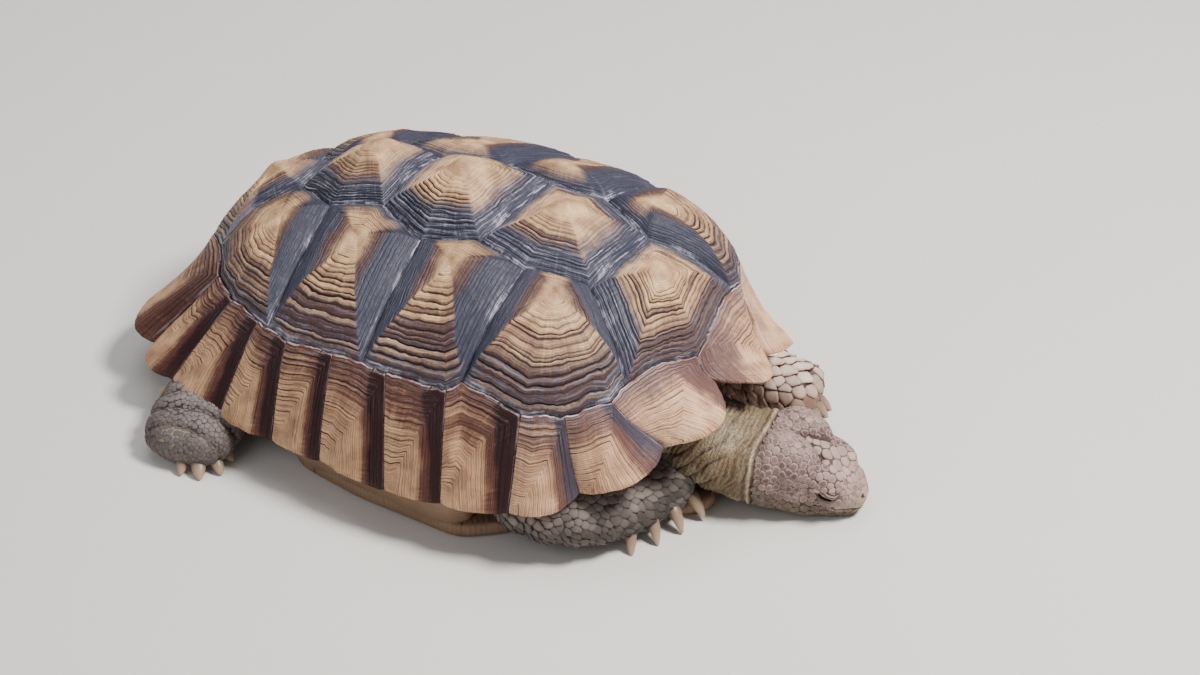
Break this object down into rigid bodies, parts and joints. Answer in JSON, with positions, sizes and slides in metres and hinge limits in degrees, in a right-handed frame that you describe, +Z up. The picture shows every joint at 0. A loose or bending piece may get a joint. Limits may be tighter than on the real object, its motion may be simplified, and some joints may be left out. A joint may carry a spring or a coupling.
{
  "type": "sulcata tortoise",
  "caption": "Life-size still model of a resting African spurred tortoise: ridged domed shell, head lowered to the ground and turned aside, forearms folded in front.",
  "frame": {"origin": "middle of the flat underside of the plastron, on the midline, at floor level", "axes": "+X forward to the head, +Y to the animal's left, +Z up"},
  "size_m": [0.5892, 0.436, 0.2129],
  "materials": {
    "vertebral_horn": "worn matt horn, growth rings",
    "costal_horn": "worn matt horn, growth rings",
    "marginal_horn": "smoother horn, half matt",
    "plastron_horn": "scuffed matt horn",
    "body_skin": "dry wrinkled skin",
    "head_skin": "scaled skin, matt",
    "limb_skin": "thick scaled skin, dusty",
    "claw_horn": "blunt half matt horn",
    "eye": "wet gloss"
  },
  "bodies": {
    "root": {"head": "head_skin", "eye_left": "eye", "eye_right": "eye", "neck": "body_skin", "trunk": "body_skin", "plastron": "plastron_horn", "foreleg_left": "limb_skin", "foreleg_right": "limb_skin", "hindleg_left": "limb_skin", "hindleg_right": "limb_skin", "tail": "limb_skin", "vertebral_1": "vertebral_horn", "vertebral_2": "vertebral_horn", "vertebral_3": "vertebral_horn", "vertebral_4": "vertebral_horn", "vertebral_5": "vertebral_horn", "costal_1_left": "costal_horn", "costal_2_left": "costal_horn", "costal_3_left": "costal_horn", "costal_4_left": "costal_horn", "costal_1_right": "costal_horn", "costal_2_right": "costal_horn", "costal_3_right": "costal_horn", "costal_4_right": "costal_horn", "marginal_01_left": "marginal_horn", "marginal_02_left": "marginal_horn", "marginal_03_left": "marginal_horn", "marginal_04_left": "marginal_horn", "marginal_05_left": "marginal_horn", "marginal_06_left": "marginal_horn", "marginal_07_left": "marginal_horn", "marginal_08_left": "marginal_horn", "marginal_09_left": "marginal_horn", "marginal_10_left": "marginal_horn", "marginal_11_left": "marginal_horn", "marginal_01_right": "marginal_horn", "marginal_02_right": "marginal_horn", "marginal_03_right": "marginal_horn", "marginal_04_right": "marginal_horn", "marginal_05_right": "marginal_horn", "marginal_06_right": "marginal_horn", "marginal_07_right": "marginal_horn", "marginal_08_right": "marginal_horn", "marginal_09_right": "marginal_horn", "marginal_10_right": "marginal_horn", "marginal_11_right": "marginal_horn", "supracaudal": "marginal_horn"}
  },
  "joints": []
}
